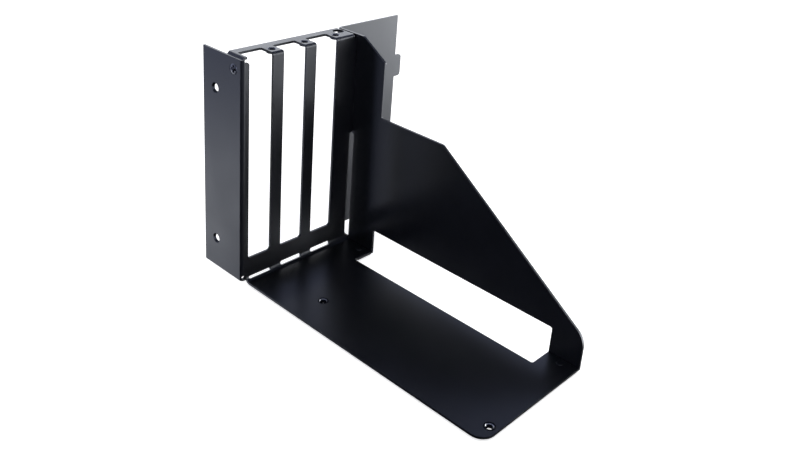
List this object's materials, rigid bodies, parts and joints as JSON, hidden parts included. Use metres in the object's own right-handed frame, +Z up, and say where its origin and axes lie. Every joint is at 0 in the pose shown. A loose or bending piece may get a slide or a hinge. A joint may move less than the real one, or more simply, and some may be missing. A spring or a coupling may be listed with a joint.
{
  "type": "graphics card holder",
  "caption": "Bent steel bracket that holds an expansion card upright in a computer case: notched slot frame, riser tray and cut-away side wall with a hooked rear panel.",
  "frame": {"origin": "middle of the plan bounding box, at the height of the surface it stands on", "axes": "+X along the slot plate towards the side wall, +Y to the rear of the slot plate, +Z up"},
  "size_m": [0.1212, 0.1828, 0.1201],
  "materials": {
    "powder_coated_sheet": "satin black powder coat on bent sheet steel",
    "bush_steel": "dark plated threaded bushes",
    "zinc_screw_steel": "dark screw with bright worn edges",
    "rivet_steel": "painted rivets"
  },
  "bodies": {
    "root": {"slot_frame_sheet": "powder_coated_sheet", "side_wall_sheet": "powder_coated_sheet", "slot_screw_bush_1": "bush_steel", "slot_screw_bush_2": "bush_steel", "slot_screw_bush_3": "bush_steel", "tray_clinch_nut_rear": "bush_steel", "tray_clinch_nut_front": "bush_steel", "left_corner_screw": "zinc_screw_steel", "right_corner_screw": "zinc_screw_steel", "foot_rivet_rear": "rivet_steel", "foot_rivet_front": "rivet_steel"}
  },
  "joints": []
}
